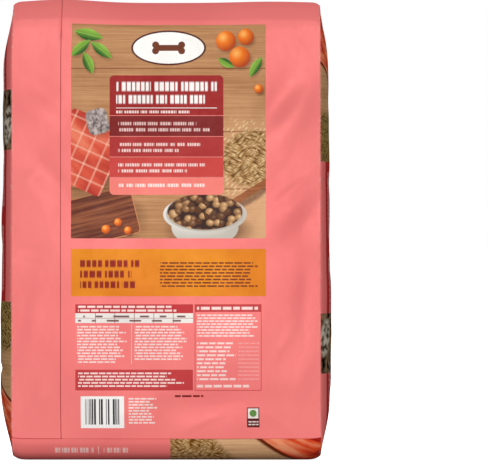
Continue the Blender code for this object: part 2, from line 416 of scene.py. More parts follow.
def columns():
    """From crease to crease, close together at the creases and at the seam's edge."""
    half = BAG_WIDTH / 2
    shares = (0, 0.25, 0.5, 0.75, 1, 1.9)
    near_crease = [half - CREASE_ROUND * share for share in shares]
    values = near_crease + [-value for value in near_crease]
    values += [SEAM_X, SEAM_X + EDGE_RUN]
    values += spaced(-near_crease[-1], SEAM_X, COLUMN_STEP)
    values += spaced(SEAM_X + EDGE_RUN, near_crease[-1], COLUMN_STEP)
    return sorted(values)


def rows():
    """From the back crease of a gusset, through its middle, to the front crease."""
    crease = [1 - CREASE_SHARE * share for share in (1, 0.75, 0.5, 0.25, 0)]
    half = [0.02, 0.05] + spaced(0.05, 1 - CREASE_SHARE, GUSSET_STEP) + crease
    return [-value for value in reversed(half)] + [0.0] + half


def turned(reach):
    """Heights round an end: its flat, both faces of the folded sheet, then evenly round the curve."""
    first = math.degrees(math.acos(1 - END_SHEET / reach))
    angles = [first + (90 - first) * turn / TURN_ROWS for turn in range(1, TURN_ROWS + 1)]
    curve = [reach * (1 - math.cos(math.radians(angle))) for angle in angles]
    return [0.0, END_SHEET * 0.5, END_SHEET, END_SHEET + EDGE_RUN / 4] + curve


def levels():
    """From the base to the top fold, close together round the ends and at the flaps' edges."""
    low = turned(BASE_TURN_HEIGHT) + [FLAP_EDGE_BASE, FLAP_EDGE_BASE + EDGE_RUN]
    high = turned(TOP_TURN_HEIGHT) + [FLAP_EDGE_TOP, FLAP_EDGE_TOP + EDGE_RUN]
    high = [BAG_HEIGHT - value for value in high]
    return sorted(low + spaced(max(low), min(high), ROW_STEP) + high)


def box_of_quads(grid):
    """Grid indices of the points, the quads' corners, and the side of each quad, for a closed box."""
    made = {}
    quads = []
    sides = []
    for axis in range(3):
        first, second = (axis + 1) % 3, (axis + 2) % 3
        last = len(grid[axis]) - 1
        for end in (0, last):
            for a in range(len(grid[first]) - 1):
                for b in range(len(grid[second]) - 1):
                    corners = []
                    for da, db in ((0, 0), (1, 0), (1, 1), (0, 1)):
                        index = [0, 0, 0]
                        index[axis], index[first], index[second] = end, a + da, b + db
                        corners.append(made.setdefault(tuple(index), len(made)))
                    if end == 0:
                        corners.reverse()
                    quads.append(corners)
                    sides.append(2 * axis + (end > 0))
    return np.array(list(made)), np.array(quads), np.array(sides)


def film_height(level):
    """Height along the film: about the run of it round both ends, and the height itself between."""
    low = np.clip((BASE_TURN_HEIGHT - level) / BASE_TURN_HEIGHT, 0, 1)
    high = np.clip((level - BAG_HEIGHT + TOP_TURN_HEIGHT) / TOP_TURN_HEIGHT, 0, 1)
    from_base = BASE_TURN_HEIGHT * (1 - np.arcsin(low))
    from_top = BAG_HEIGHT - TOP_TURN_HEIGHT * (1 - np.arcsin(high))
    return np.where(low > 0, from_base, np.where(high > 0, from_top, level))


def film_coordinates(column, row, level, side):
    """Where each corner of a quad lies on the unfolded film, for the side that the quad is on."""
    v = film_height(level)
    flat_base = BASE_DEPTH / 2 - BASE_TURN_DEPTH
    flat_top = TOP_DEPTH / 2 - TOP_TURN_DEPTH
    base_v = film_height(np.zeros(1))[0] - flat_base * (1 + row)
    top_v = film_height(np.full(1, BAG_HEIGHT))[0] + flat_top * (1 + row)
    across_gusset = row * FULL_DEPTH / 2
    u = np.select([side == 0, side == 1, side == 3], [across_gusset, across_gusset, -column], column)
    v = np.select([side == 1, side == 4, side == 5], [BAG_HEIGHT - v, base_v, top_v], v)
    return u, v


def make_film(slots):
    """The bag's film as one closed mesh. slots chooses a material for each quad."""
    grid = (columns(), rows(), levels())
    keys, quads, sides = box_of_quads(grid)
    column, row, level = (np.array(line)[keys[:, axis]] for axis, line in enumerate(grid))
    mesh = bpy.data.meshes.new("printed_bag")
    mesh.from_pydata(place(column, row, level).tolist(), [], quads.tolist())
    corner = quads.reshape(-1)
    u, v = film_coordinates(column[corner], row[corner], level[corner], np.repeat(sides, 4))
    materials, chosen = slots(sides, u.reshape(-1, 4).mean(axis=1), v.reshape(-1, 4).mean(axis=1))
    for material in materials:
        mesh.materials.append(material)
    mesh.polygons.foreach_set("material_index", chosen.astype(np.int32))
    layer = mesh.uv_layers.new(name="print")
    layer.data.foreach_set("uv", np.stack([u, v], axis=1).reshape(-1).astype(np.float32))
    mesh.shade_smooth()
    mesh.set_sharp_from_angle(angle=math.radians(SHARP_ANGLE))
    film = bpy.data.objects.new("printed_bag", mesh)
    bpy.context.scene.collection.objects.link(film)
    return film


def ink(red, green, blue):
    """A printed colour from its 8-bit sRGB values, as linear RGBA, less what the film's sheen adds."""
    linear = []
    for value in (red, green, blue):
        share = value / 255
        full = share / 12.92 if share <= 0.04045 else ((share + 0.055) / 1.055) ** 2.4
        linear.append(max(full - SHEEN, full * 0.3))
    return (*linear, 1.0)


def metres(*lengths):
    """Lengths of the print's layout, which is in millimetres, as metres."""
    return [length / 1000 for length in lengths]


PINK = ink(249, 133, 130)
WHITE_INK = ink(246, 240, 236)
# Painted shadow colour of the thin lines beside the seam's step and the flap's step
STEP_SHADOW_RED = ink(150, 48, 50)


class Film:
    """Printed laminate, painted by nodes in the film's own coordinates."""

    def __init__(self, name):
        self.material = bpy.data.materials.new(name)
        self.material.use_nodes = True
        self.tree = self.material.node_tree
        self.shader = self.tree.nodes["Principled BSDF"]
        where = self.tree.nodes.new("ShaderNodeUVMap")
        where.uv_map = "print"
        self.at = where.outputs[0]
        parts = self.add("ShaderNodeSeparateXYZ", self.at)
        self.u = parts.outputs[0]
        self.v = parts.outputs[1]

    def add(self, kind, *values, **settings):
        """A node with its settings, and its inputs filled in order."""
        node = self.tree.nodes.new(kind)
        for name, value in settings.items():
            setattr(node, name, value)
        for socket, value in zip(node.inputs, values):
            self.fill(socket, value)
        return node

    def fill(self, socket, value):
        """Links a socket, or gives it a plain value."""
        if isinstance(value, bpy.types.NodeSocket):
            self.tree.links.new(value, socket)
        elif value is not None:
            socket.default_value = value

    def sum(self, operation, *values):
        """A Math node."""
        return self.add("ShaderNodeMath", *values, operation=operation).outputs[0]

    def vector(self, operation, *values):
        """A Vector Math node, with its vector result."""
        return self.add("ShaderNodeVectorMath", *values, operation=operation).outputs[0]

    def spread(self, value, start, end):
        """0 at start and 1 at end, held outside them."""
        return self.add("ShaderNodeMapRange", value, start, end, 0.0, 1.0).outputs[0]

    def both(self, *masks):
        """Where all masks are on."""
        result = masks[0]
        for mask in masks[1:]:
            result = self.sum("MULTIPLY", result, mask)
        return result

    def band(self, value, low, high, soft=0.0002):
        """1 between low and high."""
        distance = self.sum("ABSOLUTE", self.sum("SUBTRACT", value, (low + high) / 2))
        return self.spread(distance, (high - low + soft) / 2, (high - low - soft) / 2)

    def box(self, left, right, bottom, top, soft=0.0002):
        """A plain rectangle."""
        return self.both(self.band(self.u, left, right, soft), self.band(self.v, bottom, top, soft))

    def turned(self, u, v, turn=0.0, wide=1.0, high=1.0):
        """The film's coordinates about a point, turned in degrees and scaled."""
        node = self.add("ShaderNodeMapping", self.at, vector_type="TEXTURE")
        node.inputs["Location"].default_value = (u, v, 0)
        node.inputs["Rotation"].default_value = (0, 0, math.radians(turn))
        node.inputs["Scale"].default_value = (wide, high, 1)
        return node.outputs[0]

    def rounded(self, u, v, wide, high, radius, turn=0.0, soft=0.0002):
        """A rectangle with round corners, about its middle."""
        near = self.vector("ABSOLUTE", self.turned(u, v, turn))
        near = self.vector("SUBTRACT", near, (wide / 2 - radius, high / 2 - radius, 0))
        near = self.vector("MAXIMUM", near, (0, 0, 0))
        far = self.add("ShaderNodeVectorMath", near, operation="LENGTH").outputs["Value"]
        return self.spread(far, radius + soft / 2, radius - soft / 2)

    def distance(self, u, v, wide, high, turn=0.0):
        """Distance from the middle of an ellipse, 1 at its edge."""
        local = self.turned(u, v, turn, wide / 2, high / 2)
        return self.add("ShaderNodeVectorMath", local, operation="LENGTH").outputs["Value"]

    def ellipse(self, u, v, wide, high, turn=0.0, soft=0.03):
        """An ellipse, with an edge as soft as this share of its radius."""
        return self.spread(self.distance(u, v, wide, high, turn), 1 + soft / 2, 1 - soft / 2)

    def over(self, below, colour, mask, strength=1.0):
        """Colour laid over what is below, where the mask is on, and as strongly as this."""
        if strength != 1.0:
            mask = self.sum("MULTIPLY", mask, strength)
        node = self.add("ShaderNodeMix", data_type="RGBA")
        self.fill(node.inputs[0], mask)
        self.fill(node.inputs[6], below)
        self.fill(node.inputs[7], colour)
        return node.outputs[2]

    def shades(self, value, *stops):
        """A colour ramp from pairs of place and colour."""
        node = self.add("ShaderNodeValToRGB", value)
        ramp = node.color_ramp
        while len(ramp.elements) < len(stops):
            ramp.elements.new(0.5)
        for element, (where, colour) in zip(ramp.elements, stops):
            element.position = where
            element.color = colour
        return node.outputs[0]

    def noise(self, scale, wide=1.0, high=1.0, turn=0.0, detail=3.0, rough=0.5, shift=0.0):
        """Noise with this many cells a metre, stretched wide or high."""
        local = self.turned(shift, shift, turn, wide, high)
        node = self.add("ShaderNodeTexNoise", noise_dimensions="2D")
        self.fill(node.inputs["Vector"], local)
        node.inputs["Scale"].default_value = scale
        node.inputs["Detail"].default_value = detail
        node.inputs["Roughness"].default_value = rough
        return node.outputs[0]

    def cells(self, size, wide=1.0, high=1.0, turn=0.0, shift=0.0):
        """Rounded cells of this size: distance from each middle, and a chance value for each."""
        local = self.turned(shift, shift, turn, wide * size, high * size)
        node = self.add("ShaderNodeTexVoronoi", voronoi_dimensions="2D")
        self.fill(node.inputs["Vector"], local)
        node.inputs["Scale"].default_value = 1.0
        node.inputs["Randomness"].default_value = 0.75
        chance = self.add("ShaderNodeSeparateColor", node.outputs["Color"]).outputs[0]
        return node.outputs["Distance"], chance

    def heap(self, size, dark, middle, light, wide=1.0, high=1.0, turn=0.0, shift=0.0):
        """A heap of small rounded pieces."""
        near, chance = self.cells(size, wide, high, turn, shift)
        lump = self.shades(near, (0.06, light), (0.36, middle), (0.50, middle), (0.66, dark))
        return self.over(lump, dark, chance, 0.40)

    def chance_cells(self, along, randomness, feature="F1"):
        """A row of cells of chance widths, each about 1 long."""
        node = self.add("ShaderNodeTexVoronoi", voronoi_dimensions="1D", feature=feature)
        self.fill(node.inputs["W"], along)
        node.inputs["Scale"].default_value = 1.0
        node.inputs["Randomness"].default_value = randomness
        return node

    def gaps(self, along, randomness, narrow, wide):
        """1 inside cells of chance widths, and 0 in the gaps between them."""
        edge = self.chance_cells(along, randomness, "DISTANCE_TO_EDGE").outputs["Distance"]
        return self.spread(edge, narrow, wide)

    def lines(self, left, right, top, bottom, pitch, share, word, seed, ragged, gap, tick):
        """Rows of plain bars in place of words, from top to bottom, and cut into ticks if asked."""
        depth = self.sum("DIVIDE", self.sum("SUBTRACT", top, self.v), pitch)
        row = self.sum("FLOOR", depth)
        bars = self.band(self.sum("FRACT", depth), 0.5 - share / 2, 0.5 + share / 2, 0.16)
        along = self.sum("ADD", self.sum("DIVIDE", self.u, word), seed)
        whole = self.gaps(self.sum("MULTIPLY_ADD", row, 7.31, along), 0.8, gap / 2 - 0.02, gap / 2 + 0.02)
        mask = self.both(bars, whole, self.band(self.v, bottom, top))
        if tick:
            along = self.sum("MULTIPLY_ADD", row, 3.37, self.sum("DIVIDE", self.u, tick))
            mask = self.both(mask, self.gaps(along, 0.55, 0.08, 0.16))
        if ragged:
            chance = self.add("ShaderNodeTexWhiteNoise", noise_dimensions="1D")
            self.fill(chance.inputs["W"], self.sum("ADD", row, seed))
            end = self.sum("MULTIPLY_ADD", chance.outputs["Value"], -ragged, right)
            started = self.sum("GREATER_THAN", self.u, left)
            return self.both(mask, started, self.sum("LESS_THAN", self.u, end))
        return self.both(mask, self.band(self.u, left, right))

    def wood(self, light, dark, seed=0.0):
        """Pale boards with a level grain."""
        wide_grain = self.noise(9, 3.2, 0.20, detail=4.0, rough=0.6, shift=seed)
        fine_grain = self.noise(24, 2.4, 0.045, detail=3.0, rough=0.7, shift=seed + 0.7)
        wide_part = self.sum("MULTIPLY", wide_grain, 0.40)
        tone = self.sum("MULTIPLY_ADD", fine_grain, 0.60, wide_part)
        return self.shades(tone, (0.28, dark), (0.68, light))

    def shadow(self, below, u, v, wide, high, turn=0.0, depth=0.6):
        """A soft shadow printed under a motif."""
        mask = self.spread(self.distance(u, v, wide, high, turn), 1.0, 0.55)
        return self.over(below, ink(92, 56, 38), mask, depth)

    def finish(self, colour, wear, gloss, pearl):
        """Joins the print to the shader, with the film's sheen and its fine unevenness."""
        scuff = self.noise(160, detail=4.0, rough=0.65, shift=3.1)
        sheen = self.noise(26, 1.0, 1.6, detail=2.0, shift=1.7)
        fibre = self.noise(900, 0.5, 3.0, detail=2.0, shift=0.3)
        worn = self.both(wear, self.spread(scuff, 0.50, 0.68))
        colour = self.over(colour, ink(250, 196, 188), worn, 0.35)
        self.fill(self.shader.inputs["Base Color"], colour)
        rough = self.sum("MULTIPLY_ADD", sheen, ROUGH_UNEVEN, ROUGH)
        rough = self.sum("MULTIPLY_ADD", self.spread(scuff, 0.45, 0.75), ROUGH_SCUFF, rough)
        self.fill(self.shader.inputs["Roughness"], rough)
        self.shader.inputs["Specular IOR Level"].default_value = gloss
        self.shader.inputs["Metallic"].default_value = pearl
        swell = self.noise(55, 1.0, 1.8, detail=2.0, shift=5.0)
        height = self.sum("MULTIPLY_ADD", swell, 6.0, self.sum("MULTIPLY", fibre, 0.35))
        bump = self.add("ShaderNodeBump")
        bump.inputs["Strength"].default_value = BUMP_STRENGTH
        bump.inputs["Distance"].default_value = BUMP_DEPTH
        self.fill(bump.inputs["Height"], height)
        self.fill(self.shader.inputs["Normal"], bump.outputs[0])
        return self.material


def area(film, place, soft=0.0002):
    """A plain rectangle of a panel, from its left, top, right and bottom in millimetres."""
    left, top, right, bottom = metres(*place)
    return film.box(left, right, bottom, top, soft)


def block(film, below, place, colour):
    """A plain block of one ink."""
    return film.over(below, colour, area(film, place))


def words(film, below, place, colour, pitch, share, word, seed, ragged=0, gap=0.16, tick=0):
    """Bars in place of words. share is the bars' part of a row, and gap the gaps' part of a word."""
    left, top, right, bottom = metres(*place)
    pitch, word, ragged, tick = metres(pitch, word, ragged, tick)
    mask = film.lines(left, right, top, bottom, pitch, share, word, seed, ragged, gap, tick)
    return film.over(below, colour, mask)


def pink_ground(film):
    """Pink ink, a little uneven."""
    patches = film.spread(film.noise(9, detail=2.0, shift=2.2), 0.42, 0.72)
    return film.over(PINK, ink(246, 128, 126), patches)


def board(film):
    """Wooden boards, lighter at the right and darker at the lower left."""
    colour = film.wood(ink(201, 151, 107), ink(160, 109, 72))
    bright = film.both(film.spread(film.u, 0.0246, 0.0985), film.spread(film.v, 0.3814, 0.3198))
    colour = film.over(colour, ink(234, 184, 140), bright, 0.58)
    shade = film.both(film.spread(film.u, -0.0164, -0.0934), film.spread(film.v, 0.2788, 0.2316))
    colour = film.over(colour, ink(120, 74, 50), shade, 0.55)
    for joint in metres(*BOARD_JOINTS):
        line = film.band(film.v, joint - 0.00046, joint + 0.00046, 0.0006)
        colour = film.over(colour, ink(128, 80, 52), line)
    return colour


def grain(film, size=0.0034, shift=0.0):
    """Golden grain, heaped in two directions."""
    dark, middle, light = ink(112, 76, 42), ink(184, 142, 90), ink(236, 210, 162)
    below = film.heap(size, dark, middle, light, 2.4, 0.68, 38, shift)
    above = film.heap(size, dark, middle, light, 2.4, 0.68, -22, shift + 0.3)
    return film.over(below, above, film.spread(film.noise(95, shift=shift), 0.49, 0.51))


def kibble(film, size=0.0075, shift=0.4):
    """Round brown kibble."""
    near, chance = film.cells(size, 1.0, 0.84, 0, shift)
    lit = film.cells(size, 1.0, 0.84, 0, shift + size * 0.12)[0]
    brown, middle, pale = ink(92, 60, 42), ink(144, 100, 66), ink(196, 150, 102)
    colour = film.shades(chance, (0.15, brown), (0.45, middle), (0.8, pale))
    colour = film.over(colour, ink(232, 200, 160), film.both(film.spread(lit, 0.26, 0.04), chance))
    colour = film.over(colour, ink(96, 62, 42), film.spread(lit, 0.34, 0.66), 0.7)
    return film.over(colour, ink(58, 34, 24), film.spread(near, 0.46, 0.66))


def grain_heap(film, below, x, z, wide, high):
    """A heap of grain with loose grains round it."""
    u, v, wide, high = metres(x, z, wide, high)
    loose = film.cells(0.0060, 1.7, 0.6, 50, 0.9)[0]
    near_heap = film.spread(film.distance(u - 0.004, v - 0.002, wide * 1.6, high * 1.7), 1.0, 0.7)
    colour = film.over(below, ink(226, 194, 144), film.both(film.spread(loose, 0.25, 0.17), near_heap))
    return film.over(colour, grain(film), film.ellipse(u, v, wide, high, 20, 0.12))


def tray(film, below, x, z, wide, high, turn):
    """A dark wooden tray with a lit edge, on its shadow."""
    u, v, wide, high = metres(x, z, wide, high)
    colour = film.shadow(below, u + 0.004, v - 0.008, wide * 1.25, high * 1.35, turn, 0.7)
    colour = film.over(colour, ink(196, 128, 88), film.rounded(u, v, wide, high, 0.004, turn, 0.0004))
    grain_noise = film.noise(30, 2.2, 0.10, turn=turn, detail=3.0, shift=0.5)
    dark = film.shades(grain_noise, (0.34, ink(98, 52, 36)), (0.66, ink(148, 88, 60)))
    return film.over(colour, dark, film.rounded(u, v, wide - 0.0022, high - 0.0022, 0.003, turn, 0.0004))


def spoon(film, below, x, z, length, turn):
    """The handle of a wooden spoon."""
    u, v, length = metres(x, z, length)
    colour = film.shadow(below, u + 0.001, v - 0.004, length * 1.15, 0.016, turn, 0.7)
    wood = film.wood(ink(168, 104, 66), ink(118, 66, 42), 2.0)
    return film.over(colour, wood, film.rounded(u, v, length, 0.0072, 0.0036, turn))


def cloth(film, below, x, z, wide, high, turn):
    """A folded coral cloth with pale stripes, on its shadow."""
    u, v, wide, high = metres(x, z, wide, high)
    below = film.shadow(below, u + 0.006, v - 0.012, wide * 1.4, high * 1.15, turn, 0.7)
    local = film.add("ShaderNodeSeparateXYZ", film.turned(u, v, turn))
    folds = film.noise(22, 0.6, 2.2, turn=turn + 70, detail=3.0, shift=1.3)
    base = film.shades(folds, (0.34, ink(172, 50, 42)), (0.50, ink(216, 88, 66)), (0.66, ink(236, 130, 100)))
    weave = film.noise(700, 1.0, 1.0, turn=turn, detail=1.0)
    base = film.over(base, ink(190, 70, 56), film.spread(weave, 0.40, 0.60), 0.25)
    across_cloth = film.sum("FRACT", film.sum("MULTIPLY", local.outputs[0], 72.0))
    up_cloth = film.sum("FRACT", film.sum("MULTIPLY", local.outputs[1], 72.0))
    check = film.sum("ADD", film.band(across_cloth, 0.10, 0.24, 0.06), film.band(up_cloth, 0.10, 0.24, 0.06))
    pale = film.over(base, ink(246, 190, 164), check, 0.42)
    return film.over(below, pale, film.rounded(u, v, wide, high, 0.004, turn, 0.0004))


def stone(film, below, x, z, wide, high, turn):
    """A speckled grey stone."""
    u, v, wide, high = metres(x, z, wide, high)
    below = film.shadow(below, u + 0.001, v - 0.003, wide * 1.3, high * 1.25, turn, 0.5)
    speckle = film.noise(170, detail=5.0, rough=0.7, shift=0.2)
    colour = film.shades(speckle, (0.36, ink(84, 76, 76)), (0.62, ink(196, 180, 174)))
    return film.over(below, colour, film.rounded(u, v, wide, high, 0.006, turn, 0.0005))


def dish(film, below, x, z, wide):
    """A white dish of kibble on its shadow, seen from above one side."""
    u, v, wide = metres(x, z, wide)
    high = wide * 0.46
    colour = film.shadow(below, u + 0.004, v - high * 0.42, wide * 1.12, high * 1.05, depth=0.75)
    glow = film.spread(film.distance(u - wide * 0.16, v + high * 0.1, wide * 1.3, high * 1.5), 0.1, 1.0)
    china = film.over(ink(250, 247, 242), ink(196, 188, 176), glow)
    colour = film.over(colour, china, film.ellipse(u, v - high * 0.34, wide * 0.80, high * 0.98, soft=0.02))
    colour = film.over(colour, china, film.ellipse(u, v, wide, high, soft=0.02))
    colour = film.over(colour, ink(190, 180, 168), film.ellipse(u, v, wide * 0.93, high * 0.88, soft=0.03))
    food = film.ellipse(u, v + high * 0.07, wide * 0.90, high * 0.94, soft=0.04)
    return film.over(colour, kibble(film), food)


def badge(film, below, x, z, wide, high):
    """A plain oval badge with a brown border and a simple bone."""
    u, v, wide, high = metres(x, z, wide, high)
    colour = film.over(below, ink(84, 46, 32), film.ellipse(u, v, wide, high, soft=0.015))
    inside = film.ellipse(u, v, wide - 0.0040, high - 0.0036, soft=0.015)
    colour = film.over(colour, ink(250, 247, 242), inside)
    bar = wide * 0.30
    knob = high * 0.20
    brown = ink(112, 62, 40)
    colour = film.over(colour, brown, film.rounded(u, v, bar * 1.1, high * 0.17, 0.001))
    for side in (-1, 1):
        for rise in (-1, 1):
            spot = film.ellipse(u + side * bar * 0.58, v + rise * knob * 0.42, knob, knob, soft=0.08)
            colour = film.over(colour, brown, spot)
    return colour


def leaf(film, below, x, z, length, width, turn):
    """A green leaf with its rib, on its shadow."""
    u, v, length, width = metres(x, z, length, width)
    dark, light = ink(46, 92, 30), ink(142, 186, 74)
    below = film.shadow(below, u + 0.001, v - 0.002, length * 1.05, width * 1.3, turn, 0.5)
    parts = film.add("ShaderNodeSeparateXYZ", film.turned(u, v, turn, length / 2, width / 2))
    side = film.sum("ABSOLUTE", parts.outputs[1])
    edge = film.sum("MULTIPLY_ADD", parts.outputs[0], parts.outputs[0], side)
    colour = film.over(dark, light, film.spread(parts.outputs[1], -0.7, 0.8))
    colour = film.over(colour, light, film.spread(side, 0.10, 0.03))
    return film.over(below, colour, film.spread(edge, 1.03, 0.97))


def fruit(film, below, x, z, size):
    """A round orange fruit, lit from the upper left, on its shadow."""
    u, v, size = metres(x, z, size)
    below = film.shadow(below, u + 0.0015, v - 0.003, size * 1.25, size * 1.1, 0, 0.6)
    far = film.distance(u, v, size, size)
    glow = film.distance(u - size * 0.16, v + size * 0.18, size * 1.35, size * 1.35)
    dark, middle, light = ink(178, 72, 18), ink(238, 122, 34), ink(252, 182, 96)
    colour = film.shades(glow, (0.05, light), (0.45, middle), (1.0, dark))
    return film.over(below, colour, film.spread(far, 1.03, 0.97))


def red_bands(film, below, x, z, wide, high, *joints):
    """A stack of plain red bands with round outer corners, which change tone at these joints."""
    u, v, wide, high = metres(x, z, wide, high)
    colour = ink(156, 46, 46)
    tones = (ink(126, 40, 38), ink(172, 58, 57), ink(202, 74, 70), ink(242, 130, 120))
    for joint, tone in zip(metres(*joints), tones):
        colour = film.over(colour, tone, film.spread(film.v, joint + 0.00015, joint - 0.00015))
        line = film.band(film.v, joint - 0.00036, joint + 0.00036)
        colour = film.over(colour, ink(226, 132, 124), line)
    return film.over(below, colour, film.rounded(u, v, wide, high, 0.0045))


def orange_ground(film, below, place):
    """A plain orange band."""
    patches = film.spread(film.noise(12, shift=0.8), 0.42, 0.64)
    return film.over(below, film.over(ink(233, 144, 39), ink(226, 131, 33), patches), area(film, place))


def outlined(film, below, place, colour, head):
    """A box outlined in one ink, with a solid head down to this height."""
    left, _, right, bottom = place
    inside = area(film, (left + OUTLINE, head, right - OUTLINE, bottom + OUTLINE))
    frame_mask = film.both(area(film, place), film.sum("SUBTRACT", 1.0, inside))
    return film.over(below, colour, frame_mask)


def upright_lines(film, below, place, colour, step, width):
    """Thin upright lines of a table, from the left of their place to its right."""
    left, top, right, bottom = place
    while left < right:
        below = block(film, below, (left, top, left + width, bottom), colour)
        left += step
    return below


def code_bars(film, below, place):
    """Upright dark bars of chance widths."""
    stripes = film.chance_cells(film.sum("DIVIDE", film.u, CODE_BAR), 1.0)
    chance = film.add("ShaderNodeSeparateColor", stripes.outputs["Color"]).outputs[1]
    bars = film.both(film.sum("GREATER_THAN", chance, 0.56), area(film, place, 0.0001))
    return film.over(below, ink(62, 58, 60), bars)


def green_dot(film, below, x, z, size):
    """A plain green disc."""
    u, v, size = metres(x, z, size)
    return film.over(below, ink(98, 142, 74), film.ellipse(u, v, size, size))


def low_strip(film, below):
    """The picture field that runs round the bottom fold: grain, wood and coral cloth."""
    colour = film.wood(ink(232, 188, 144), ink(192, 146, 106), 3.3)
    heap_edge = film.sum("MULTIPLY_ADD", film.v, 0.9, film.u)
    colour = film.over(colour, grain(film, 0.0030, 1.1), film.spread(heap_edge, 0.074, 0.066))
    cloth_edge = film.sum("MULTIPLY_ADD", film.v, 1.4, film.u)
    folds = film.noise(34, 2.4, 0.5, turn=-24, detail=4.0, shift=2.9)
    coral = film.shades(folds, (0.34, ink(160, 42, 34)), (0.50, ink(224, 88, 58)), (0.64, ink(246, 158, 118)))
    colour = film.over(colour, ink(112, 58, 40), film.spread(cloth_edge, 0.122, 0.126))
    colour = film.over(colour, coral, film.spread(cloth_edge, 0.130, 0.1315))
    return film.over(below, colour, film.spread(film.u, 0.0036, 0.0040))


def front_board(film):
    """The wooden board of the front's picture field."""
    return film.wood(ink(208, 158, 114), ink(164, 112, 74), 4.0)


def front_panel(film, below, x, z, wide, high, change):
    """A red panel in two tones, which change at this height."""
    u, v, wide, high, change = metres(x, z, wide, high, change)
    red = film.over(ink(158, 46, 46), ink(200, 74, 70), film.spread(film.v, change, change - 0.0003))
    return film.over(below, red, film.rounded(u, v, wide, high, 0.008))


def seam_shadow(film, below):
    """Painted shadow: a thin dark line along the lap seam's edge, where its step casts shade."""
    line = film.band(film.u, SEAM_X - 0.0006, SEAM_X + 0.0002, 0.0005)
    return film.over(below, STEP_SHADOW_RED, line, 0.72)


def flap_shadow(film, below):
    """Painted shadow: a dark line along the bottom flap's edge, stronger where one layer less lies under it
    and the step is higher.
    """
    edge = film.band(film.v, FLAP_EDGE_BASE + 0.0002, FLAP_EDGE_BASE + 0.0009, 0.0004)
    left_part = film.spread(film.u, SEAM_X + 0.004, SEAM_X - 0.002)
    strength = film.sum("MULTIPLY_ADD", left_part, 0.30, 0.30)
    return film.over(below, STEP_SHADOW_RED, film.sum("MULTIPLY", edge, strength))


def painted_base_shade(film, below):
    """Painted shade: the film darkened towards and under the base, where it turns away from the light."""
    low = film.spread(film.v, 0.0085, -0.0050)
    return film.over(below, ink(80, 22, 30), low, 0.60)


RED = ink(194, 60, 64)
LOW_RED = ink(199, 70, 72)
PALE = ink(252, 222, 216)
FLAP_PALE = ink(250, 206, 200)
OUTLINE = 0.6  # millimetres
CODE_BAR = 0.00060
GUSSET_ROW = 0.0042
GUSSET_RED = 0.0332  # from the middle of a gusset to the edge of its red field
GUSSET_STONES = (0.321, 0.383)  # the bottom and the top of its upper picture
GUSSET_PICTURE = 0.1645  # the top of its lower picture
PANEL_WEAR = 0.0035  # from a crease to where its wear ends
GUSSET_WEAR = 0.0030
FULL_WEAR = 0.0002  # from a crease to where its wear is strongest


def flat(painter, place, *details):
    """A printed thing that fills its place, with how far it reaches, its painter and its details."""
    left, top, right, bottom = place
    return (left - 1, top + 1, right + 1, bottom - 1), painter, (place, *details)


def motif(painter, reach, *details):
    """A printed thing about a point, within its reach."""
    return reach, painter, details


# Layout of the print in millimetres from the middle of a panel and up it: left, top, right, bottom
FIELD = (-97.6, 449.1, 102.6, 229.5)
FRONT_FIELD = (-180.6, 196.1, 180.6, 20)
BOARD_JOINTS = (404.4, 339.2, 280.2)  # up the back panel

# Printed things, each over those before it. After the ink of words come the pitch of their rows, the
# bars' share of it, the length of a word, a seed, how ragged the right ends are, the gap's share of a
# word and the length of a letter.
FIELD_ITEMS = (
    motif(grain_heap, (34, 363, 138, 258), 88.2, 311.6, 62, 58),
    motif(spoon, (45, 310, 123, 242), 86.2, 276.7, 58, 32),
    motif(tray, (-130, 292, -14, 204), -75.9, 249, 92, 50, 14),
    motif(cloth, (-130, 377, -24, 242), -82.1, 317.8, 62, 74, -24),
    motif(stone, (-91, 372, -49, 324), -70.3, 349.6, 22, 26, 14),
    motif(dish, (-12, 281, 99, 221), 40, 254.1, 86),
    motif(leaf, (-99, 450, -61, 426), -80, 438.8, 30.8, 11.3, -12),
    motif(leaf, (-103, 439, -73, 410), -88.2, 425.5, 25.7, 10.3, 40),
    motif(leaf, (-83, 435, -49, 410), -66.7, 423.4, 27.7, 10.3, -38),
    motif(leaf, (-91, 425, -67, 393), -80, 410.1, 24.6, 10.3, -66),
    motif(fruit, (45, 447, 78, 416), 61.6, 432.7, 20.5),
    motif(fruit, (69, 450, 97, 422), 82.1, 436.8, 16.4),
    motif(fruit, (60, 431, 93, 398), 75.9, 416.2, 21.5),
    motif(fruit, (88, 392, 105, 374), 95.4, 383.4, 9.2),
    motif(leaf, (80, 423, 107, 389), 92.3, 406, 24.6, 9.2, 58),
    motif(leaf, (47, 419, 76, 399), 61.6, 410.1, 18.5, 8.2, 150),
    motif(fruit, (-58, 255, -41, 236), -49.2, 245.9, 8.2),
    motif(fruit, (-48, 246, -30, 228), -39, 237.7, 8.2),
    motif(fruit, (-70, 248, -53, 229), -61.6, 238.8, 9.2),
    motif(badge, (-39, 447, 45, 403), 2.6, 425.5, 77, 36),
    motif(red_bands, (-60, 399, 61, 272), 0.5, 335.7, 117, 123, 355.7, 334.2, 313.1, 292.1),
)
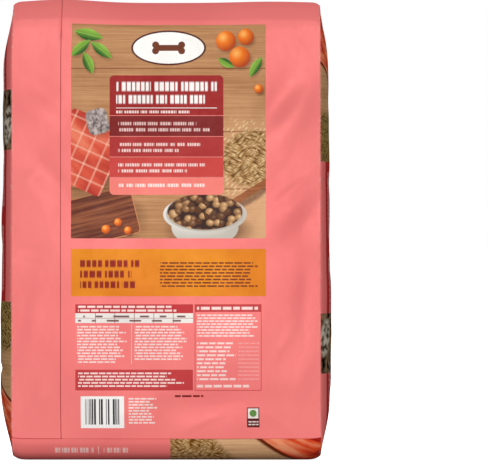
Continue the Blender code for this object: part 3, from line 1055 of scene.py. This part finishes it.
BACK_ITEMS = (
    flat(words, (-51.3, 391.6, 52.3, 379.8), WHITE_INK, 11.8, 0.78, 27.7, 0.3, 0, 0.13, 5.03),
    flat(words, (-51.3, 377.8, 40, 367), WHITE_INK, 10.77, 0.8, 22.57, 3.7, 0, 0.15, 4.82),
    flat(block, (-51.3, 363.9, 52.3, 363.2), WHITE_INK),
    flat(words, (-51.3, 361.5, 24.6, 357.4), ink(240, 214, 208), 4.1, 0.66, 13.34, 5.2, 0, 0.16, 2.67),
    flat(words, (-49.2, 350.6, 49.2, 337.2), ink(226, 190, 184), 6.36, 0.5, 12.31, 1.4, 22.6, 0.16, 2.46),
    flat(words, (-49.2, 329, 47.2, 316.7), ink(240, 204, 198), 6.16, 0.5, 11.29, 2.9, 36.9, 0.16, 2.46),
    flat(words, (-49.2, 308, 43.1, 295.7), ink(244, 212, 206), 6.16, 0.5, 12.31, 8.2, 30.8, 0.16, 2.46),
    flat(words, (-49.2, 286.5, 41, 281.3), ink(252, 226, 220), 5.13, 0.66, 14.36, 6.1, 0, 0.16, 2.67),
    flat(orange_ground, (-97.6, 218.7, 102.6, 170)),
    flat(words, (-88.2, 209, -24.6, 178.2), ink(146, 48, 24), 10.88, 0.66, 26.68, 2.2, 16.4, 0.12, 6.26),
    flat(words, (-6.2, 205.9, 94.4, 179.2), ink(122, 58, 26), 3.39, 0.46, 8.21, 4.4, 12.3),
    flat(block, (-93.1, 161.8, 27.7, 152.8), RED),
    flat(words, (-90.3, 161.2, 24.6, 153.4), PALE, 3.9, 0.54, 9.23, 0.9, 20.5),
    flat(block, (-93.1, 152.6, 27.7, 142.6), ink(240, 234, 228)),
    flat(words, (-90.3, 151.5, 25.7, 143.1), ink(120, 84, 80), 4.41, 0.42, 20.01, 7.7, 0, 0.55),
    flat(upright_lines, (-72.8, 152.6, 7.8, 142.6), ink(150, 84, 80), 20, 0.6),
    flat(block, (-93.1, 147.8, 27.7, 147.3), ink(170, 110, 104)),
    flat(words, (-91.3, 140.3, -38, 101.3), PALE, 3.03, 0.5, 7.18, 3.1, 14.4),
    flat(words, (-32.3, 140.3, 25.7, 104.3), PALE, 3.03, 0.5, 6.57, 5.6, 16.4),
    flat(block, (-35.7, 140.8, -35.2, 100.2), ink(252, 200, 194)),
    flat(block, (-93.1, 94.6, 27.7, 73.3), LOW_RED),
    flat(words, (-90.3, 92.5, 24.6, 76.1), PALE, 3.28, 0.48, 7.18, 1.7, 24.6),
    flat(outlined, (29.5, 161.8, 98.1, 72.9), LOW_RED, 154),
    flat(words, (31.8, 160.4, 94.4, 155), PALE, 5.34, 0.56, 11.29, 4.9),
    flat(words, (31.8, 152.1, 95.4, 127.9), PALE, 3.03, 0.5, 6.16, 9.3, 10.3),
    flat(words, (31.8, 123.8, 71.8, 82.8), PALE, 4.1, 0.46, 9.23, 2.4, 16.4),
    flat(words, (73.9, 123.8, 95.4, 82.8), ink(250, 190, 184), 4.1, 0.3, 1.64, 6.6, 0, 0.5),
    flat(words, (31.8, 80.2, 86.2, 75.1), PALE, 5.13, 0.5, 10.26, 3.3),
    flat(block, (-87.7, 67.2, -43.1, 34.4), ink(250, 249, 246)),
    flat(code_bars, (-83.1, 64.3, -47.7, 38.1)),
    flat(words, (-38.4, 66.2, -7.2, 38.3), ink(250, 228, 222), 3.1, 0.5, 6.16, 5.1, 12.3),
    flat(words, (8.9, 69, 38.5, 65.8), ink(122, 44, 44), 3.28, 0.62, 8.21, 2.8),
    flat(block, (83.1, 55.6, 95.9, 35.1), ink(92, 40, 40)),
    flat(block, (84.1, 54.6, 94.9, 44.3), ink(238, 228, 220)),
    motif(green_dot, (81, 58, 99, 33), 89.5, 49.5, 7.2),
    flat(words, (84.6, 42.3, 94.9, 36.6), ink(238, 214, 206), 2.87, 0.46, 4.1, 1.2),
    motif(seam_shadow, (-111, 495, -106, 21)),
    motif(flap_shadow, (-191, 26, 191, 20)),
)
FLAP_ITEMS = (
    motif(low_strip, (0, 33, 191, -101)),
    flat(words, (-114.9, 14.7, -75.4, 7.1), FLAP_PALE, 7.59, 0.8, 9.23, 0.6, 0, 0.2, 3.18),
    flat(block, (-70.6, 15.6, -69.8, 5.8), FLAP_PALE),
    flat(words, (-65.2, 14.7, -40, 7.1), FLAP_PALE, 7.59, 0.8, 8.21, 4.3, 0, 0.2, 3.18),
    motif(flap_shadow, (-191, 26, 191, 20)),
    motif(painted_base_shade, (-191, 12, 191, -101)),
)
FRONT_FIELD_ITEMS = (
    motif(grain_heap, (4, 125, 184, -9), 94.4, 61.3, 125, 80),
    motif(dish, (-109, 161, 82, 42), -10.3, 114.6, 140),
    motif(cloth, (-181, 197, -67, 63), -122.1, 132, 70, 80, 20),
    motif(leaf, (81, 151, 138, 78), 108.8, 114.6, 45.1, 17.4, 30),
    motif(leaf, (101, 161, 158, 104), 129.3, 135.1, 41, 16.4, -30),
    motif(leaf, (81, 171, 112, 114), 94.4, 143.3, 39, 15.4, 80),
    motif(fruit, (63, 92, 105, 47), 82.1, 71.5, 26.7),
    motif(fruit, (91, 76, 126, 40), 106.7, 59.2, 22.6),
    motif(fruit, (-128, 74, -86, 30), -108.8, 53, 26.7),
)
FRONT_ITEMS = (
    motif(front_panel, (-130, 315, 130, 211), 0, 262, 250, 92, 242.1),
    flat(words, (-111.8, 300.3, 111.8, 278.8), WHITE_INK, 22.06, 0.72, 51.3, 1.3, 0, 0.1, 9.95),
    flat(words, (-111.8, 275.7, 80, 254.1), WHITE_INK, 22.06, 0.72, 46.17, 4.3, 0, 0.1, 9.95),
    flat(words, (-111.8, 235.7, 111.8, 221.8), PALE, 6.98, 0.5, 14.36, 2.3, 30.8),
    motif(badge, (-91, 404, 91, 317), 0, 361.9, 170, 78),
)

# Where the panels are cut into materials of their own, so that none grows too large to render: the top
# and bottom of a row of tiles, and the upright edges between them
BACK_CUTS = (
    (504, 399, (-200, -102, -58, 43, 105, 200)),
    (399, 354, (-200, -102, -58, 60, 105, 200)),
    (354, 313, (-200, -102, -58, 60, 105, 200)),
    (313, 271, (-200, -102, -55, 60, 105, 200)),
    (271, 224, (-200, -102, -22, 105, 200)),
    (224, 166, (-200, -102, -16, 105, 200)),
    (166, 125, (-200, -102, 29, 105, 200)),
    (125, 71, (-200, -102, 29, 105, 200)),
    (71, 24, (-200, -102, -1, 105, 200)),
)
FLAP_CUTS = ((24, -142, (-200, -37, 200)),)
TOP_CUTS = ((680, 370, (-200, 200)),)
FRONT_CUTS = (
    (535, 317, (-200, 200)),
    (317, 207, (-200, 200)),
    (207, -142, (-200, -58, 60, 200)),
)
TILE_SLACK = 3.1  # millimetres, a little more than the side of a quad


def overlaps(place, tile):
    """Whether a place reaches into a tile, or into the quads along its edge."""
    left, top, right, bottom = place
    tile_left, tile_top, tile_right, tile_bottom = tile
    in_columns = left < tile_right + TILE_SLACK and right > tile_left - TILE_SLACK
    return in_columns and bottom < tile_top + TILE_SLACK and top > tile_bottom - TILE_SLACK


def paint(film, tile, below, items):
    """Paints the printed things that reach into a tile, in their order."""
    for reach, painter, details in items:
        if overlaps(reach, tile):
            below = painter(film, below, *details)
    return below


def crease_wear(film, half, reach):
    """Where the film is folded hard, near both creases of a panel or a gusset."""
    return film.spread(film.sum("ABSOLUTE", film.u), half - reach, half - FULL_WEAR)


def panel_material(name, tile, field, ground, field_items, items, gloss):
    """The film of one tile of a panel."""
    film = Film(name)
    colour = pink_ground(film)
    if field and overlaps(field, tile):
        picture = paint(film, tile, ground(film), field_items)
        colour = film.over(colour, picture, area(film, field))
    colour = paint(film, tile, colour, items)
    return film.finish(colour, crease_wear(film, BAG_WIDTH / 2, PANEL_WEAR), gloss, PEARL)


def gusset_words(film, far):
    """Bars that run up a gusset in rows, in place of words."""
    rows_out = film.sum("DIVIDE", far, GUSSET_ROW)
    row = film.sum("FLOOR", rows_out)
    along = film.sum("MULTIPLY_ADD", row, 5.7, film.sum("DIVIDE", film.v, 0.0056))
    bars = film.band(film.sum("FRACT", rows_out), 0.26, 0.66, 0.14)
    bars = film.both(bars, film.gaps(along, 1.0, 0.07, 0.11), film.band(far, GUSSET_ROW, GUSSET_ROW * 6))
    paragraphs = film.sum("FRACT", film.sum("MULTIPLY_ADD", film.v, 11.3, 0.25))
    return film.both(bars, film.sum("GREATER_THAN", paragraphs, 0.22))


def gusset_stones(film):
    """Dark and pale stones with kibble between them."""
    rough = film.noise(110, detail=4.0, shift=0.6)
    slate = film.shades(rough, (0.36, ink(40, 32, 26)), (0.62, ink(150, 122, 96)))
    fine = film.noise(150, detail=4.0, shift=1.9)
    pale = film.shades(fine, (0.36, ink(84, 70, 56)), (0.58, ink(206, 196, 178)))
    colour = film.over(slate, pale, film.ellipse(-0.036, 0.346, 0.024, 0.038, 14, 0.30))
    colour = film.over(colour, pale, film.ellipse(0.036, 0.350, 0.024, 0.036, -12, 0.30))
    return film.over(colour, kibble(film, 0.007), film.ellipse(0.0, 0.352, 0.036, 0.040, soft=0.15))


def gusset_picture(film, far):
    """The picture field at a gusset's base: grain over pale wood over coral cloth."""
    wood = film.wood(ink(216, 174, 130), ink(170, 124, 86), 1.0)
    dark, middle, light = ink(76, 60, 30), ink(150, 122, 72), ink(206, 178, 122)
    heap = film.heap(0.0028, dark, middle, light, 1.2, 0.9, 60, 0.2)
    wood = film.over(wood, heap, film.spread(film.v, 0.110, 0.118))
    folds = film.noise(34, 2.4, 0.5, turn=24, detail=4.0, shift=2.9)
    coral = film.shades(folds, (0.34, ink(168, 48, 38)), (0.50, ink(226, 92, 64)), (0.64, ink(246, 158, 118)))
    slope = film.sum("MULTIPLY_ADD", far, 0.5, film.v)
    wood = film.over(wood, ink(112, 54, 38), film.spread(slope, 0.088, 0.0865))
    return film.over(wood, coral, film.spread(slope, 0.0845, 0.0835))


def gusset_print():
    """A gusset: pink margins with painted shade that darkens them toward its middle, a dark red field with
    bars, and picture fields out to the creases.
    """
    film = Film("film_gusset")
    far = film.sum("ABSOLUTE", film.u)
    # Painted shade: the pink is darkened toward the gusset's middle, which turns away from the light
    shade_toward_middle = film.spread(far, 0.0465, 0.0300)
    colour = film.over(pink_ground(film), ink(196, 84, 84), shade_toward_middle, 0.40)
    colour = film.over(colour, ink(182, 60, 60), film.spread(far, GUSSET_RED + 0.0004, GUSSET_RED - 0.0004))
    colour = film.over(colour, ink(236, 206, 200), gusset_words(film, far))
    colour = film.over(colour, gusset_stones(film), film.band(film.v, *GUSSET_STONES))
    below_top = film.spread(film.v, GUSSET_PICTURE, GUSSET_PICTURE - 0.0005)
    colour = film.over(colour, gusset_picture(film, far), below_top)
    return film.finish(colour, crease_wear(film, FULL_DEPTH / 2, GUSSET_WEAR), DULL, DULL)


def printed_slots(sides, u, v):
    """The film's materials, and which of them each quad has."""
    x, z = u * 1000, v * 1000
    materials = [gusset_print()]
    chosen = np.zeros(len(sides), dtype=int)
    made = {}
    panels = (
        ("back", sides == 2, BACK_CUTS, FIELD, board, FIELD_ITEMS, BACK_ITEMS, GLOSS),
        ("flap", (sides == 2) | (sides == 4), FLAP_CUTS, None, None, (), FLAP_ITEMS, DULL),
        ("front", sides == 3, FRONT_CUTS, FRONT_FIELD, front_board, FRONT_FIELD_ITEMS, FRONT_ITEMS, GLOSS),
        ("top", sides == 5, TOP_CUTS, None, None, (), (), GLOSS),
    )
    for name, on_panel, cuts, field, ground, field_items, items, gloss in panels:
        for top, bottom, edges in cuts:
            for left, right in zip(edges, edges[1:]):
                tile = (left, top, right, bottom)
                found = [id(item) for item in field_items + items if overlaps(item[0], tile)]
                key = (*found, bool(field and overlaps(field, tile)), ground)
                if key not in made:
                    made[key] = len(materials)
                    label = f"film_{name}_{len(materials)}"
                    material = panel_material(label, tile, field, ground, field_items, items, gloss)
                    materials.append(material)
                inside = (x >= left) & (x < right) & (z <= top) & (z > bottom)
                chosen[on_panel & inside] = made[key]
    return materials, chosen


def add_light(name, position, size, power, shines):
    """A square area light aimed at the bag. One that doesn't shine leaves no gloss on the film."""
    data = bpy.data.lights.new(name, "AREA")
    data.size = size
    data.energy = power
    lamp = bpy.data.objects.new(name, data)
    lamp.location = position
    lamp.rotation_euler = (Vector(LAMP_TARGET) - Vector(position)).to_track_quat("-Z", "Y").to_euler()
    lamp.visible_camera = False
    lamp.visible_glossy = shines
    bpy.context.scene.collection.objects.link(lamp)


def seen_directly(tree):
    """On for rays from the camera, and for those that glossy and clear surfaces send on."""
    path = tree.nodes.new("ShaderNodeLightPath")
    total = path.outputs["Is Camera Ray"]
    for name in ("Is Glossy Ray", "Is Transmission Ray"):
        either = tree.nodes.new("ShaderNodeMath")
        either.operation = "MAXIMUM"
        tree.links.new(total, either.inputs[0])
        tree.links.new(path.outputs[name], either.inputs[1])
        total = either.outputs[0]
    return total


def shader(tree, kind, **settings):
    """The output of a new shader node with some of its inputs set."""
    node = tree.nodes.new(kind)
    for name, value in settings.items():
        node.inputs[name].default_value = value
    return node.outputs[0]


def show(tree, thrown, seen, output):
    """Joins one look for the light that is thrown back and another for what is seen directly."""
    mix = tree.nodes.new("ShaderNodeMixShader")
    for socket, value in zip(mix.inputs, (seen_directly(tree), thrown, seen)):
        tree.links.new(value, socket)
    tree.links.new(mix.outputs[0], tree.nodes[output].inputs["Surface"])


def make_floor():
    """A plain pale floor that looks white, throws little light back, and keeps the bag's shadow."""
    mesh = bpy.data.meshes.new("floor")
    corners = [(x * FLOOR_REACH, y * FLOOR_REACH, 0) for x, y in ((-1, -1), (1, -1), (1, 1), (-1, 1))]
    mesh.from_pydata(corners, [], [(0, 1, 2, 3)])
    floor = bpy.data.objects.new("floor", mesh)
    material = bpy.data.materials.new("floor_pale")
    material.use_nodes = True
    tree = material.node_tree
    tree.nodes.remove(tree.nodes["Principled BSDF"])
    bright = tree.nodes.new("ShaderNodeAddShader")
    tree.links.new(shader(tree, "ShaderNodeBsdfDiffuse", Color=FLOOR_PALE), bright.inputs[0])
    tree.links.new(shader(tree, "ShaderNodeEmission", Strength=FLOOR_GLOW), bright.inputs[1])
    dim = shader(tree, "ShaderNodeBsdfDiffuse", Color=FLOOR_DIM)
    show(tree, dim, bright.outputs[0], "Material Output")
    mesh.materials.append(material)
    bpy.context.scene.collection.objects.link(floor)


def make_world():
    """Low, even fill light from a world that looks white."""
    world = bpy.data.worlds.new("studio")
    bpy.context.scene.world = world
    world.use_nodes = True
    tree = world.node_tree
    fill = shader(tree, "ShaderNodeBackground", Color=WHITE, Strength=ROOM_FILL)
    white = shader(tree, "ShaderNodeBackground", Color=WHITE, Strength=ROOM_WHITE)
    show(tree, fill, white, "World Output")


def make_camera():
    """Level and square to the back panel, shifted so that the bag stands left of the middle."""
    data = bpy.data.cameras.new("camera")
    data.sensor_width = SENSOR
    data.lens = SENSOR * CAMERA_DISTANCE / (PHOTO_WIDTH * PIXEL)
    data.shift_x = (PHOTO_MIDDLE_X - BAG_MIDDLE_X) / PHOTO_WIDTH
    camera = bpy.data.objects.new("camera", data)
    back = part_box("bag")[0][1]
    camera.location = (0, back - CAMERA_DISTANCE, CAMERA_HEIGHT)
    camera.rotation_euler = (math.radians(90), 0, 0)
    bpy.context.scene.collection.objects.link(camera)
    bpy.context.scene.camera = camera


bag = make_film(printed_slots)
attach(bag, "root")
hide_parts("bag")
make_floor()
make_world()
for lamp_values in LAMPS:
    add_light(*lamp_values)
make_camera()
bpy.context.scene.view_settings.view_transform = "Standard"
